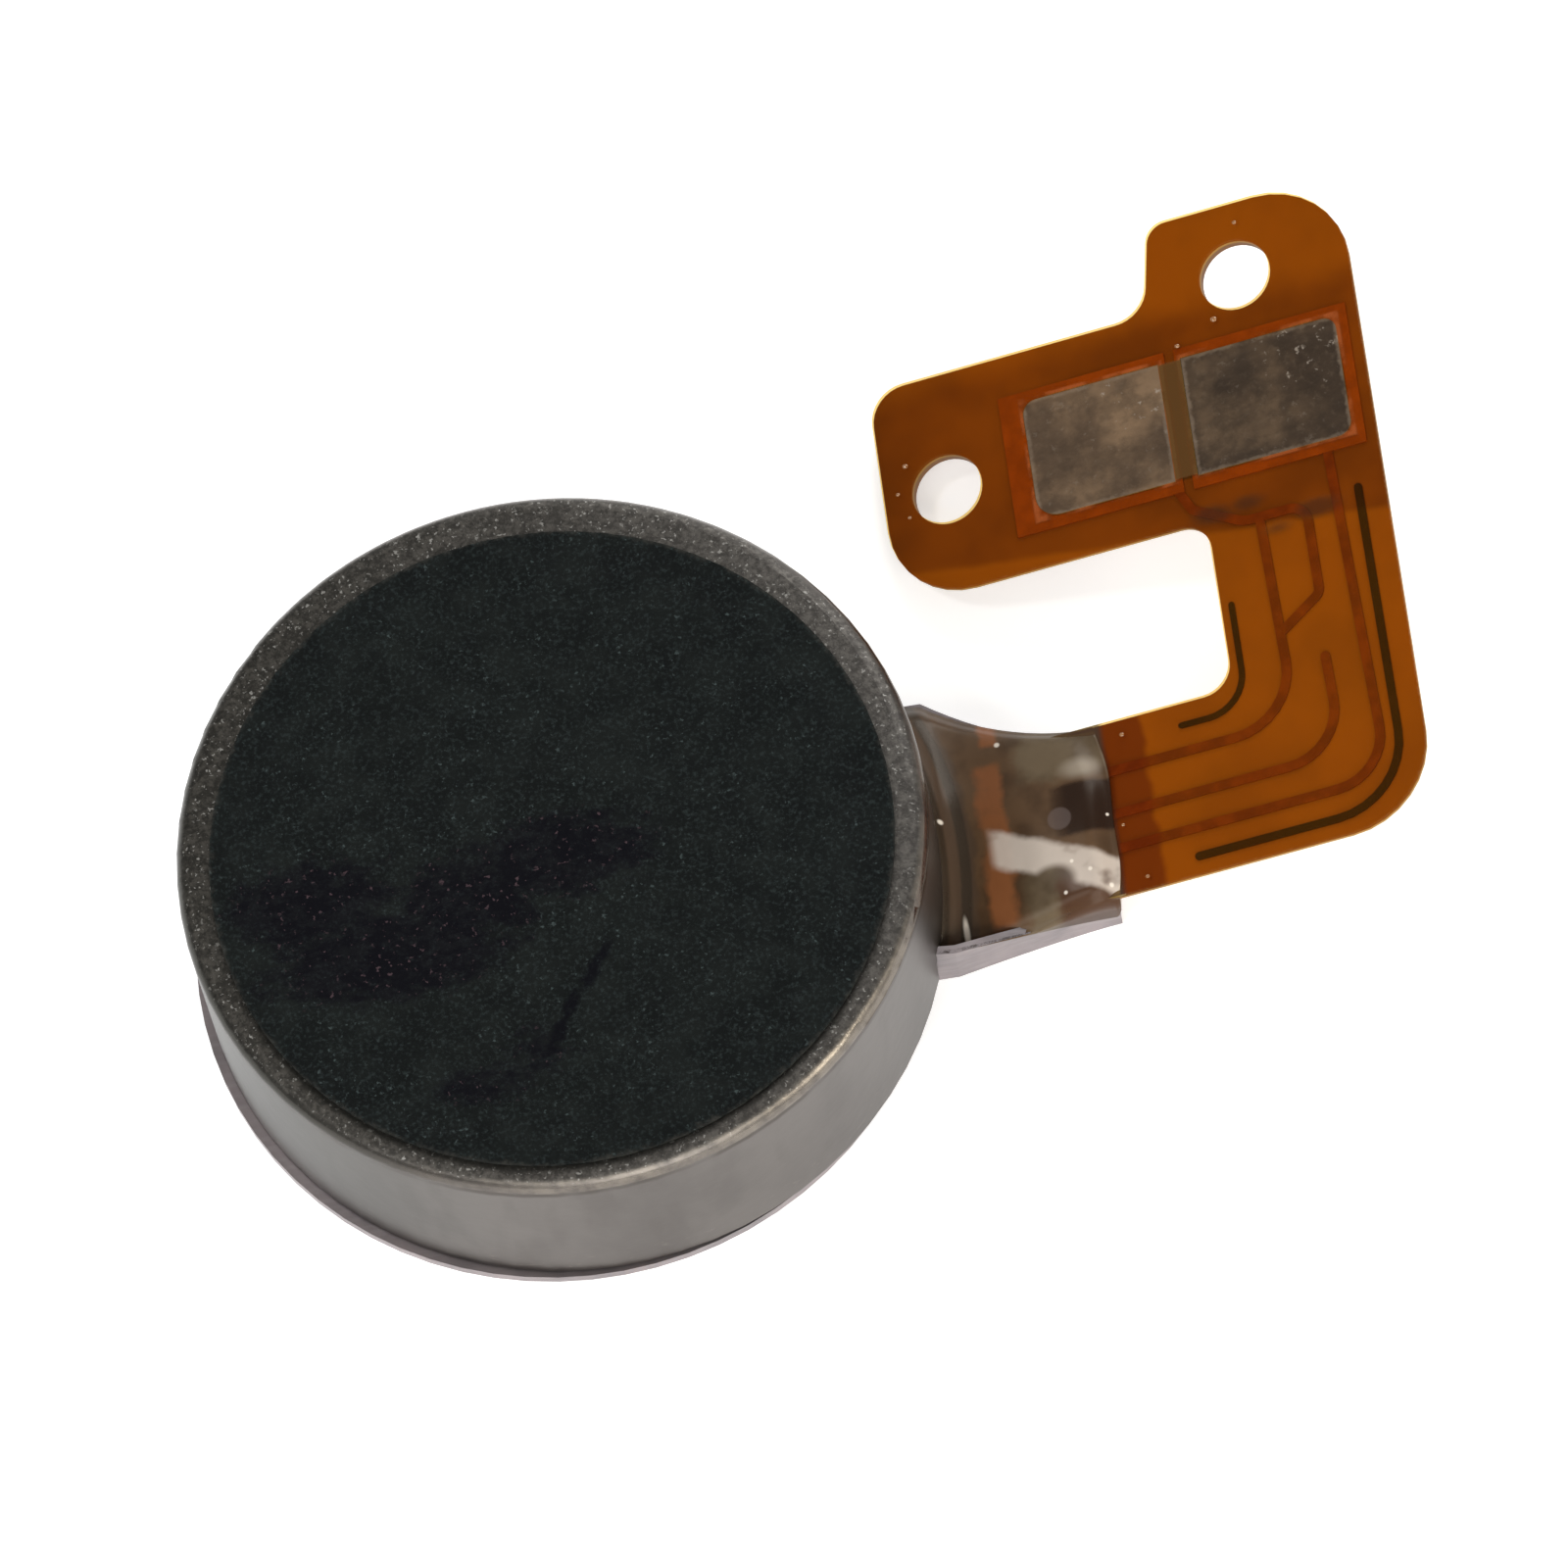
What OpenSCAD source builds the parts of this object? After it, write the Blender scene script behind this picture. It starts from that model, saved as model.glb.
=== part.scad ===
// Vibration coin motor: a flat eccentric-rotor motor in a round steel case,
// with a printed flex lead that climbs away from the case to a contact head.
// Origin: motor axis at the underside of the base. +Z runs up to the adhesive
// disc, +X out along the lead's neck, +Y towards the contact head.

/* [Coin] */
// Outside diameter of the case
coin_d = 10; // [9:0.5:12]
// Height of the case above the underside of the base
case_h = 3.1; // [2.9:0.05:3.6]
// Sheet thickness of the case
case_wall = 0.2; // [0.15:0.01:0.25]
// Rounding of the case's top outer edge
case_round = 0.22; // [0.15:0.01:0.28]
// Sheet thickness of the base plate and its tab
base_t = 0.25; // [0.22:0.01:0.3]
// Bare rim left around the adhesive disc
disc_margin = 0.45; // [0.4:0.05:1]
// Thickness of the adhesive disc
disc_t = 0.05; // [0.05:0.01:0.2]

/* [Motor] */
// Shaft diameter
shaft_d = 0.8; // [0.6:0.05:0.9]
// Radial running clearance between shaft and bearing
bearing_play = 0.02; // [0.01:0.01:0.05]
// Height of the ring magnet
magnet_h = 0.75; // [0.6:0.05:0.8]
// Radial gap between the rotor and the inside of the case
rotor_gap = 0.45; // [0.3:0.05:0.6]
// Gap between the rotor's top and the inside of the case
roof_gap = 0.3; // [0.2:0.05:0.4]
// Arc taken up by the eccentric weight, in degrees
weight_arc = 124; // [90:2:130]
// Number of commutator segments
segments = 6; // [6:3:9]

/* [Flex lead] */
// Angle at which the free lead climbs from the base
flex_slope = 15.2; // [8:0.1:18]
// Width of the neck and of the arm
neck_w = 2.5; // [2.4:0.05:2.7]
// Open slot between the neck and the contact head
slot_w = 2.48; // [2.3:0.05:2.7]
// Width of the contact head along the neck
head_w = 6.94; // [6.7:0.02:7.2]
// Depth of the contact head across the neck
head_h = 3.2; // [3.1:0.05:3.4]
// Width of the ear that carries the upper locating hole
ear_w = 2.72; // [2.6:0.02:2.9]
// Height of the ear above the contact head
ear_h = 1.3; // [1.2:0.05:1.5]
// Diameter of the two locating holes
hole_d = 1; // [0.8:0.05:1.1]
// Width of the copper tracks
track_w = 0.13; // [0.1:0.01:0.16]

/* [Hidden] */
$fn = 96;

// Case and base
coin_r = coin_d / 2;
case_in_r = coin_r - case_wall;
roof_z = case_h - case_wall;
seam_z = base_t * 0.6;
seam_gap = 0.04;
disc_shift = 0.14;
flange_inset = 0.02;
flange_shift = [-0.13, -0.08];
tab_len = 2.25;
lip_t = 0.12;
lip_top = [0.8, 0.36];
lip_root = coin_r - 0.35;
tab_root = coin_r - 0.9;
resin_inset = 0.1;
resin_over = 0.12;
resin_top = 0.94;
notch_top = 0.66;
notch_y = [-1.62, 2.42];

// Flex lead, layer by layer from the base up
glue_t = 0.03;
film_t = 0.05;
copper_t = 0.03;
cover_t = 0.04;
plating_t = 0.015;
stiffener_t = 0.1;
film_z = base_t + glue_t;
copper_z = film_z + film_t;
cover_z = copper_z + copper_t;
flex_top = cover_z + cover_t;
flex_disc_r = case_in_r - 0.35;
collar_gap = 0.1;

// The lead creases at crease_x; it is flat up to flat_end, and free from ramp_start
crease_x = coin_r + 0.1;
flat_end = coin_r - 0.1;
ramp_start = coin_r + 0.4;

// Outline of the free lead
neck_lo = -1.18;
neck_hi = neck_lo + neck_w;
head_lo = neck_hi + slot_w;
head_hi = head_lo + head_h;
ear_hi = head_hi + ear_h;
head_left = coin_r - 0.1;
arm_right = head_left + head_w;
arm_left = arm_right - neck_w - 0.01;
ear_left = arm_right - ear_w;
corner_r = 1.2;
holes = [[head_left + 0.9, head_lo + 1.51], [arm_right - 1.61, head_hi + 0.24]];

// Contact pads: the coverlay's window, and the bar of coverlay that divides it
window_x = [head_left + 2.12, arm_right - 0.32];
window_y = [head_lo + 0.68, head_lo + 2.44];
bar_x = [head_left + 4.09, head_left + 4.41];
pad_under = [0.33, 0.16];
pad_split = 0.09;

// Height of each copper track where it crosses the neck
positive_y = 0.62;
tail_y = 0;
negative_y = -0.5;
guard_y = -0.91;

// Guard lines, which carry no current
guard_in_w = 0.08;
guard_out_w = 0.11;

// Brushes, their solder joints and the copper pads under their feet
brush_y = 1.3;
foot_x = [-1.55, -0.85];
foot_w = 0.5;
foot_t = 0.06;
leaf_t = 0.05;
tip_x = 0.6;
tip_len = 0.3;
opening = 0.1;
brush_pad = [[foot_x[0] - 0.05, brush_y - 0.3], [0.8, 0.6]];
solder_r = [0.2, 0.12];
solder_h = 0.1;

// Motor stack
shaft_r = shaft_d / 2;
collar_r = shaft_r + 0.4;
collar_top = base_t + 0.25;
socket_z = 0.1;
washer_t = 0.1;
end_play = 0.02;
magnet_in_r = case_in_r / 2;
magnet_out_r = case_in_r - 0.5;
air_gap = 0.27;
segment_t = 0.04;
board_t = 0.15;
board_z = flex_top + magnet_h + air_gap;
rotor_z = board_z + board_t;
rotor_top = roof_z - roof_gap;
rotor_r = case_in_r - rotor_gap;
bearing_r = shaft_r + 0.4;
segment_r = [1, 2];
coil_top = rotor_top - 0.3;
coil_wall = 0.7;
coil_arc = 78;
coil_turn = 67;
coil_inset = [0.45, 0.25];
coil_lean = 16;
pocket_gap = 0.02;
board_inset = 0.1;
moulding_inset = 0.05;
moulding_drop = 0.1;
segment_gap = 8;
weight_gap = 0.6;

// ---- Plane outlines ----

function polar(r, a) = [r * cos(a), r * sin(a)];
function unit(v) = v / norm(v);
function flip(list) = [for (i = [len(list) - 1:-1:0]) list[i]];

// Part of a ring between two radii and two angles
function sector(r0, r1, a0, a1, n = 24) = concat(
  [for (i = [0:n]) polar(r1, a0 + (a1 - a0) * i / n)],
  [for (i = [n:-1:0]) polar(r0, a0 + (a1 - a0) * i / n)]
);

// Fillet of radius r at corner b, between its neighbours a and c
function fillet(a, b, c, r, n = 8) =
  let (u = unit(a - b), w = unit(c - b), half = acos(u * w) / 2)
  let (mid = b + unit(u + w) * r / sin(half))
  let (from = b + u * r / tan(half) - mid, to = b + w * r / tan(half) - mid)
  let (a0 = atan2(from.y, from.x), turn = atan2(to.y, to.x) - a0)
  let (sweep = turn > 180 ? turn - 360 : turn < -180 ? turn + 360 : turn)
  [for (i = [0:n]) mid + polar(r, a0 + sweep * i / n)];

// Corners are [x, y, radius]; a radius of 0 keeps the corner sharp
function xy(p) = [p.x, p.y];
function rounded(corners) =
  let (n = len(corners))
  [for (i = [0:n - 1])
    each corners[i].z == 0 ? [xy(corners[i])]
      : fillet(xy(corners[(i + n - 1) % n]), xy(corners[i]), xy(corners[(i + 1) % n]), corners[i].z)];
function rounded_line(corners) =
  let (n = len(corners))
  [for (i = [0:n - 1])
    each corners[i].z == 0 ? [xy(corners[i])]
      : fillet(xy(corners[i - 1]), xy(corners[i]), xy(corners[i + 1]), corners[i].z)];

// A track of width w along a line, with mitred joints and round ends
function heading(line, i) = unit(line[i + 1] - line[i]);
function left_of(v) = [-v.y, v.x];
function edge(line, w) =
  [for (i = [1:len(line) - 2])
    let (a = left_of(heading(line, i - 1)), b = left_of(heading(line, i)), m = unit(a + b))
    line[i] + m * w / 2 / (m * a)];
function round_end(p, v, w, n = 6) =
  let (a0 = atan2(v.y, v.x))
  [for (i = [0:n]) p + polar(w / 2, a0 + 90 - 180 * i / n)];
function track(corners, w) =
  let (line = rounded_line(corners), last = len(line) - 1)
  concat(
    edge(line, w),
    round_end(line[last], heading(line, last - 1), w),
    edge(flip(line), w),
    round_end(line[0], -heading(line, 0), w)
  );

// ---- The lead's flat stretch, crease and climbing stretch ----

// Height h above the base, at distance s from the axis, carried onto the climbing lead
function climb(s, h) = [
  crease_x + (s - crease_x) * cos(flex_slope) - (h - flex_top) * sin(flex_slope),
  flex_top + (s - crease_x) * sin(flex_slope) + (h - flex_top) * cos(flex_slope)
];
function mitre(h) = [crease_x - (h - flex_top) * tan(flex_slope / 2), h];

module on_climb() {
  translate([crease_x, 0, flex_top])
    rotate([0, -flex_slope, 0])
      translate([-crease_x, 0, -flex_top])
        children();
}

// Stretch of one layer through the crease, from height h0 to h1 and from y0 to y1
module crease(h0, h1, y0, y1, x0 = flat_end, s1 = ramp_start) {
  translate([0, y1, 0])
    rotate([90, 0, 0])
      linear_extrude(y1 - y0)
        polygon([[x0, h0], mitre(h0), climb(s1, h0), climb(s1, h1), mitre(h1), [x0, h1]]);
}

module flat_layer(h0, h1) {
  translate([0, 0, h0])
    linear_extrude(h1 - h0)
      children();
}

module climbing_layer(h0, h1) {
  on_climb()
    flat_layer(h0, h1)
      children();
}

module flat_outline() {
  difference() {
    union() {
      circle(flex_disc_r);
      translate([0, neck_lo])
        square([flat_end, neck_w]);
    }
    circle(collar_r + collar_gap);
  }
}

module climbing_outline() {
  difference() {
    polygon(rounded([
      [ramp_start, neck_lo, 0], [arm_right, neck_lo, corner_r], [arm_right, ear_hi, corner_r],
      [ear_left, ear_hi, 0.3], [ear_left - 0.22, head_hi, 0.5], [head_left, head_hi, 0.5],
      [head_left, head_lo, 1.1], [arm_left, head_lo, 0.38], [arm_left, neck_hi, 0.42],
      [ramp_start, neck_hi, 0]
    ]));
    locating_holes();
  }
}

module locating_holes() {
  for (p = holes)
    translate(p)
      circle(d = hole_d);
}

// ---- Copper ----

// Each track is one polygon on the climbing lead and one on the base
function arm_x(from_right) = arm_right - from_right;
feed_y = head_lo - 0.14;
climbing_positive = [
  [arm_x(1.79), feed_y, 0], [arm_x(1.72), positive_y, 0.85], [ramp_start, positive_y, 0]
];
climbing_branch = [
  [head_left + 4.05, window_y[0] - 0.05, 0], [head_left + 4.25, head_lo + 0.22, 0.15],
  [arm_left + 0.5, feed_y, 0.4], [arm_x(1.13), feed_y, 0.25], [arm_x(1.13), head_lo - 1.45, 0.15],
  [arm_x(1.74), head_lo - 1.87, 0]
];
climbing_negative = [
  [arm_x(0.72), window_y[0] - 0.05, 0], [arm_x(0.59), negative_y, 0.7], [ramp_start, negative_y, 0]
];
climbing_tail = [
  [arm_x(1.19), 1.43, 0], [arm_x(1.15), tail_y, 0.75], [ramp_start, tail_y, 0]
];
flat_positive = [
  [flat_end, positive_y, 0], [2.3, positive_y, 0.3], [1.5, brush_y, 0.2], [foot_x[1], brush_y, 0]
];
flat_negative = [
  [flat_end, negative_y, 0], [2.5, negative_y, 0.3], [1.9, -brush_y, 0.2], [-foot_x[1], -brush_y, 0]
];
flat_tail = [[flat_end, tail_y, 0], [4, tail_y, 0], [3.2, tail_y, 0]];

// A track stops square at the crease and where it meets its contact pad
module trimmed_climb() {
  difference() {
    children();
    translate([ramp_start - 1, neck_lo])
      square([1, neck_w]);
    left_pad_shape();
    right_pad_shape();
  }
}

module trimmed_flat() {
  difference() {
    children();
    translate([flat_end, neck_lo])
      square([1, neck_w]);
  }
}

module positive_climbing() {
  trimmed_climb()
    union() {
      polygon(track(climbing_positive, track_w));
      polygon(track(climbing_branch, track_w));
    }
}

module negative_climbing() {
  trimmed_climb()
    polygon(track(climbing_negative, track_w));
}

module tail_climbing() {
  trimmed_climb()
    polygon(track(climbing_tail, track_w));
}

module positive_flat() {
  trimmed_flat()
    union() {
      polygon(track(flat_positive, track_w));
      translate(brush_pad[0])
        square(brush_pad[1]);
    }
}

module negative_flat() {
  trimmed_flat()
    union() {
      polygon(track(flat_negative, track_w));
      rotate(180)
        translate(brush_pad[0])
          square(brush_pad[1]);
    }
}

module tail_flat() {
  trimmed_flat()
    polygon(track(flat_tail, track_w));
}

module inner_guard_shape() {
  end = [arm_left - 0.79, neck_hi - 0.32];
  polygon(track([
    [arm_left + 0.15, neck_hi + 1.2, 0], [arm_left + 0.15, end.y, 0.55], [end.x, end.y, 0]
  ], guard_in_w));
}

module outer_guard_shape() {
  polygon(track([
    [arm_x(0.38), head_lo - 0.1, 0], [arm_x(0.36), guard_y, 1], [arm_right - 3.33, guard_y, 0]
  ], guard_out_w));
}

module pad_shape(x0, x1) {
  translate([x0, window_y[0] - pad_under[1]])
    square([x1 - x0, window_y[1] - window_y[0] + 2 * pad_under[1]]);
}

module left_pad_shape() {
  pad_shape(window_x[0] - pad_under[0], bar_x[0] + pad_split);
}

module right_pad_shape() {
  pad_shape(bar_x[1] - pad_split, window_x[1] + pad_under[1]);
}

module climbing_copper() {
  positive_climbing();
  negative_climbing();
  tail_climbing();
  inner_guard_shape();
  outer_guard_shape();
  left_pad_shape();
  right_pad_shape();
}

module flat_copper() {
  positive_flat();
  negative_flat();
  tail_flat();
}

// One copper track: flat, through the crease at height y, and climbing
module copper(y) {
  flat_layer(copper_z, cover_z)
    children(0);
  climbing_layer(copper_z, cover_z)
    children(1);
  crease(copper_z, cover_z, y - track_w / 2, y + track_w / 2);
}

// ---- Case and base ----

module case() {
  color("#8e8884")
    difference() {
      rotate_extrude() {
        translate([0, seam_z + seam_gap])
          square([coin_r, case_h - case_round - seam_z - seam_gap]);
        translate([0, case_h - case_round])
          square([coin_r - case_round, case_round]);
        translate([coin_r - case_round, case_h - case_round])
          intersection() {
            circle(case_round);
            square(case_round);
          }
      }
      translate([0, 0, -1])
        cylinder(r = case_in_r, h = roof_z + 1);
      exit_notch();
    }
}

module exit_notch() {
  translate([coin_r - 1, notch_y[0], -1])
    cube([2, notch_y[1] - notch_y[0], notch_top + 1]);
}

// Half-widths of the exit tab, flaring from its end (t = 1) back to the case (t = 0)
tab_far = [1.5, 0.86, 1.9];
tab_near = [-1.16, -0.4, 1.2];
function flare(side, t) = side[0] + side[1] * pow(1 - t, side[2]);
function tab_edge(side, inset, n = 12) =
  [for (i = [0:n]) [coin_r + tab_len * i / n, flare(side, i / n) + inset]];

// Plan of the tab from inside the case, with its edges shifted and its end moved out
function tab_outline(near_inset = 0, far_inset = 0, over = 0) = concat(
  [[tab_root, flare(tab_near, 0) + near_inset]],
  tab_edge(tab_near, near_inset),
  over == 0 ? [] : [
    [coin_r + tab_len + over, flare(tab_near, 1) + near_inset],
    [coin_r + tab_len + over, flare(tab_far, 1) + far_inset]
  ],
  flip(tab_edge(tab_far, far_inset)),
  [[tab_root, flare(tab_far, 0) + far_inset]]
);

module exit_tab() {
  linear_extrude(base_t)
    polygon(tab_outline());
}

// Raised lip along the tab's near edge, falling from the case to the tab's end
module tab_lip() {
  fall = (lip_top[0] - lip_top[1]) / tab_len;
  difference() {
    intersection() {
      linear_extrude(case_h)
        polygon(concat(
          [[lip_root, flare(tab_near, 0)]],
          tab_edge(tab_near, 0),
          flip(tab_edge(tab_near, lip_t)),
          [[lip_root, flare(tab_near, 0) + lip_t]]
        ));
      rotate([90, 0, 0])
        linear_extrude(coin_r)
          polygon([
            [lip_root, base_t / 2], [coin_r + tab_len, base_t / 2], [coin_r + tab_len, lip_top[1]],
            [lip_root, lip_top[0] + fall * (coin_r - lip_root)]
          ]);
    }
    case_above_notch();
  }
}

// The space taken up by the case above the exit notch
module case_above_notch() {
  translate([0, 0, notch_top])
    cylinder(r = coin_r, h = case_h);
}

// Disc that closes the case, with the shaft's socket and the exit tab. Its flange lies
// under the case's edge, a little off centre.
module base_plate() {
  color("#8b8790")
    difference() {
      union() {
        translate(flange_shift)
          cylinder(r = coin_r - flange_inset, h = seam_z);
        cylinder(r = case_in_r, h = base_t);
        cylinder(r = collar_r, h = collar_top);
        exit_tab();
        tab_lip();
      }
      translate([0, 0, socket_z])
        cylinder(r = shaft_r, h = collar_top);
    }
}

module adhesive_disc() {
  color("#232626")
    translate([0, -disc_shift, case_h])
      cylinder(r = coin_r - disc_margin, h = disc_t);
}

// Clear resin that seals the exit notch and beds the lead on the tab
module exit_resin() {
  color("#c9c4b8", 0.5)
    difference() {
      intersection() {
        linear_extrude(case_h)
          polygon(tab_outline(lip_t, -resin_inset, resin_over));
        resin_profile();
      }
      crease(base_t, flex_top, neck_lo, neck_hi, case_in_r - 0.1, coin_r + 3);
      cylinder(r = case_in_r, h = case_h);
      case_above_notch();
    }
}

// Side view of the resin, carried across the whole tab: highest where it meets the case
module resin_profile() {
  tab_end = coin_r + tab_len;
  translate([0, coin_r, 0])
    rotate([90, 0, 0])
      linear_extrude(coin_d)
        polygon([
          [tab_root, base_t], [tab_end, base_t], [tab_end + resin_over, 0.7],
          climb(tab_end + 0.2, flex_top), climb(tab_end, flex_top + 0.12),
          climb(coin_r + 1.4, flex_top + 0.16), climb(coin_r + 0.7, flex_top + 0.24),
          [coin_r + 0.3, resin_top - 0.06], [coin_r, resin_top], [tab_root, resin_top]
        ]);
}

// ---- Flex lead ----

module flex_adhesive() {
  color("#b9ab8a")
    flat_layer(base_t, film_z)
      flat_outline();
}

module flex_base_film() {
  color("#8a5208") {
    flat_layer(film_z, copper_z)
      flat_outline();
    climbing_layer(film_z, copper_z)
      climbing_outline();
    crease(film_z, copper_z, neck_lo, neck_hi);
  }
}

module track_positive() {
  color("#7a2f0c")
    copper(positive_y) {
      positive_flat();
      positive_climbing();
    }
}

module track_negative() {
  color("#7a2f0c")
    copper(negative_y) {
      negative_flat();
      negative_climbing();
    }
}

module track_tail() {
  color("#7a2f0c")
    copper(tail_y) {
      tail_flat();
      tail_climbing();
    }
}

module guard_inner() {
  color("#4a1c08")
    climbing_layer(copper_z, cover_z)
      inner_guard_shape();
}

module guard_outer() {
  color("#2c1206")
    climbing_layer(copper_z, cover_z)
      outer_guard_shape();
}

module pad_left() {
  color("#c05a1c")
    climbing_layer(copper_z, cover_z)
      left_pad_shape();
}

module pad_right() {
  color("#c05a1c")
    climbing_layer(copper_z, cover_z)
      right_pad_shape();
}

window = [
  [window_x[0], window_y[0], 0.33], [window_x[1], window_y[0], 0.2],
  [window_x[1], window_y[1], 0.2], [window_x[0], window_y[1], 0.2]
];

// The part of the window between two distances along the neck
module window_part(x0, x1) {
  intersection() {
    polygon(rounded(window));
    translate([x0, window_y[0] - 1])
      square([x1 - x0, window_y[1] - window_y[0] + 2]);
  }
}

module plating(x0, x1) {
  color("#8d877c")
    climbing_layer(cover_z, cover_z + plating_t)
      window_part(x0, x1);
}

module pad_plating_left() {
  plating(window_x[0] - 1, bar_x[0]);
}

module pad_plating_right() {
  plating(bar_x[1], window_x[1] + 1);
}

module brush_opening() {
  translate(brush_pad[0] - [opening, opening])
    square(brush_pad[1] + 2 * [opening, opening]);
}

// The coverlay fills the spaces between the tracks and closes over them
module flex_coverlay() {
  gaps = [
    [neck_lo, negative_y - track_w / 2], [negative_y + track_w / 2, tail_y - track_w / 2],
    [tail_y + track_w / 2, positive_y - track_w / 2], [positive_y + track_w / 2, neck_hi]
  ];
  color("#c9780f", 0.8) {
    flat_layer(copper_z, cover_z)
      difference() {
        flat_outline();
        flat_copper();
        brush_opening();
        rotate(180)
          brush_opening();
      }
    flat_layer(cover_z, flex_top)
      difference() {
        flat_outline();
        brush_opening();
        rotate(180)
          brush_opening();
      }
    climbing_layer(copper_z, cover_z)
      difference() {
        climbing_outline();
        climbing_copper();
      }
    climbing_layer(cover_z, flex_top)
      difference() {
        climbing_outline();
        window_part(window_x[0] - 1, bar_x[0]);
        window_part(bar_x[1], window_x[1] + 1);
      }
    for (gap = gaps)
      crease(copper_z, cover_z, gap[0], gap[1]);
    crease(cover_z, flex_top, neck_lo, neck_hi);
  }
}

// Stiffener under the contact head, set in from the lead's edge
module head_stiffener() {
  inset = 0.08;
  color("#5c3408")
    climbing_layer(film_z - stiffener_t, film_z)
      difference() {
        polygon(rounded([
          [arm_left + 0.1, head_lo - 0.18, 0], [arm_right - inset, head_lo - 0.52, 0],
          [arm_right - inset, ear_hi - inset, corner_r], [ear_left + inset, ear_hi - inset, 0.25],
          [ear_left - 0.14, head_hi - inset, 0.5], [head_left + inset, head_hi - inset, 0.45],
          [head_left + inset, head_lo + inset, 1.05], [arm_left - 0.2, head_lo + inset, 0.2]
        ]));
        locating_holes();
      }
}

// ---- Stator parts inside the case ----

module ring(r0, r1, z0, z1) {
  translate([0, 0, z0])
    difference() {
      cylinder(r = r1, h = z1 - z0);
      translate([0, 0, -1])
        cylinder(r = r0, h = z1 - z0 + 2);
    }
}

module shaft() {
  color("#c8c8cc")
    translate([0, 0, socket_z])
      cylinder(r = shaft_r, h = roof_z - socket_z);
}

module ring_magnet() {
  color("#4e5054")
    ring(magnet_in_r, magnet_out_r, flex_top, flex_top + magnet_h);
}

module washer_lower() {
  color("#d8d4c6")
    ring(shaft_r + bearing_play, bearing_r, collar_top, collar_top + washer_t);
}

module washer_upper() {
  color("#d8d4c6")
    ring(shaft_r + bearing_play, bearing_r, roof_z - washer_t, roof_z);
}

// Leaf spring from its foot on the solder pad up to the commutator's underside
module brush() {
  tip_z = board_z - segment_t - end_play;
  start = [foot_x[1] - leaf_t, cover_z];
  finish = [tip_x, tip_z - leaf_t];
  color("#d9a441")
    translate([0, brush_y + foot_w / 2, 0])
      rotate([90, 0, 0])
        linear_extrude(foot_w)
          polygon([
            [foot_x[0], cover_z], start, finish, [tip_x + tip_len, tip_z - leaf_t],
            [tip_x + tip_len, tip_z], [tip_x - leaf_t * 0.6, tip_z],
            [foot_x[1] - leaf_t * 1.3, cover_z + foot_t], [foot_x[0], cover_z + foot_t]
          ]);
}

module solder() {
  color("#b8bbc0")
    translate([foot_x[0] + solder_r[0] + 0.02, brush_y, cover_z + foot_t])
      cylinder(r1 = solder_r[0], r2 = solder_r[1], h = solder_h);
}

module brush_positive() {
  brush();
}

module brush_negative() {
  rotate(180)
    brush();
}

module solder_positive() {
  solder();
}

module solder_negative() {
  rotate(180)
    solder();
}

// ---- Rotor ----

weight_from = 180 - weight_arc / 2;
weight_to = 180 + weight_arc / 2;
weight_r0 = bearing_r + weight_gap;

module rotor_bearing() {
  color("#a87b4f")
    ring(shaft_r + bearing_play, bearing_r, collar_top + washer_t + end_play,
      roof_z - washer_t - end_play);
}

module rotor_board() {
  color("#2f6b3a")
    ring(bearing_r, rotor_r - board_inset, board_z, rotor_z);
}

// Copper segment on the board's underside, one step of the commutator round
module segment(index) {
  step = 360 / segments;
  from = index * step + segment_gap / 2;
  color("#c9a227")
    translate([0, 0, board_z - segment_t])
      linear_extrude(segment_t)
        polygon(sector(segment_r[0], segment_r[1], from, from + step - segment_gap, 8));
}

module coil_outline(inset) {
  a = coil_arc / 2;
  lean = inset * coil_lean;
  r0 = bearing_r + coil_inset[0] + inset;
  r1 = rotor_r - coil_inset[1] - inset;
  polygon(sector(r0, r1, lean - a, a - lean));
}

module place_coil(side) {
  rotate(side * coil_turn)
    children();
}

module coil(side) {
  color("#b4531f")
    translate([0, 0, rotor_z])
      linear_extrude(coil_top - rotor_z)
        place_coil(side)
          difference() {
            coil_outline(0);
            coil_outline(coil_wall);
          }
}

module rotor_weight() {
  color("#6f7276")
    translate([0, 0, rotor_z])
      linear_extrude(rotor_top - rotor_z)
        polygon(sector(weight_r0, rotor_r, weight_from, weight_to, 32));
}

module coil_pocket(side) {
  place_coil(side)
    difference() {
      coil_outline(-pocket_gap);
      coil_outline(coil_wall + pocket_gap);
    }
}

// Plastic that holds the coils, the weight and the bearing on the board
module rotor_moulding() {
  color("#1f2f52") {
    translate([0, 0, rotor_z])
      linear_extrude(coil_top + pocket_gap - rotor_z)
        difference() {
          moulding_outline();
          coil_pocket(1);
          coil_pocket(-1);
        }
    translate([0, 0, coil_top + pocket_gap])
      linear_extrude(rotor_top - moulding_drop - coil_top - pocket_gap)
        moulding_outline();
  }
}

module moulding_outline() {
  difference() {
    circle(rotor_r - moulding_inset);
    circle(bearing_r);
    polygon(sector(weight_r0 - pocket_gap, rotor_r + 1, weight_from - 0.4, weight_to + 0.4, 32));
  }
}

case();
base_plate();
shaft();
ring_magnet();
washer_lower();
washer_upper();
flex_adhesive();
flex_base_film();
track_positive();
track_negative();
track_tail();
guard_inner();
guard_outer();
pad_left();
pad_right();
pad_plating_left();
pad_plating_right();
flex_coverlay();
head_stiffener();
exit_resin();
adhesive_disc();
brush_positive();
brush_negative();
solder_positive();
solder_negative();
rotor_board();
rotor_moulding();
rotor_weight();
rotor_bearing();
coil(1);  // coil_1
coil(-1);  // coil_2
for (i = [1:segments])
  segment(i);
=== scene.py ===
import math
import random

import bmesh
import bpy
from mathutils import Matrix, Vector, noise


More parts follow.
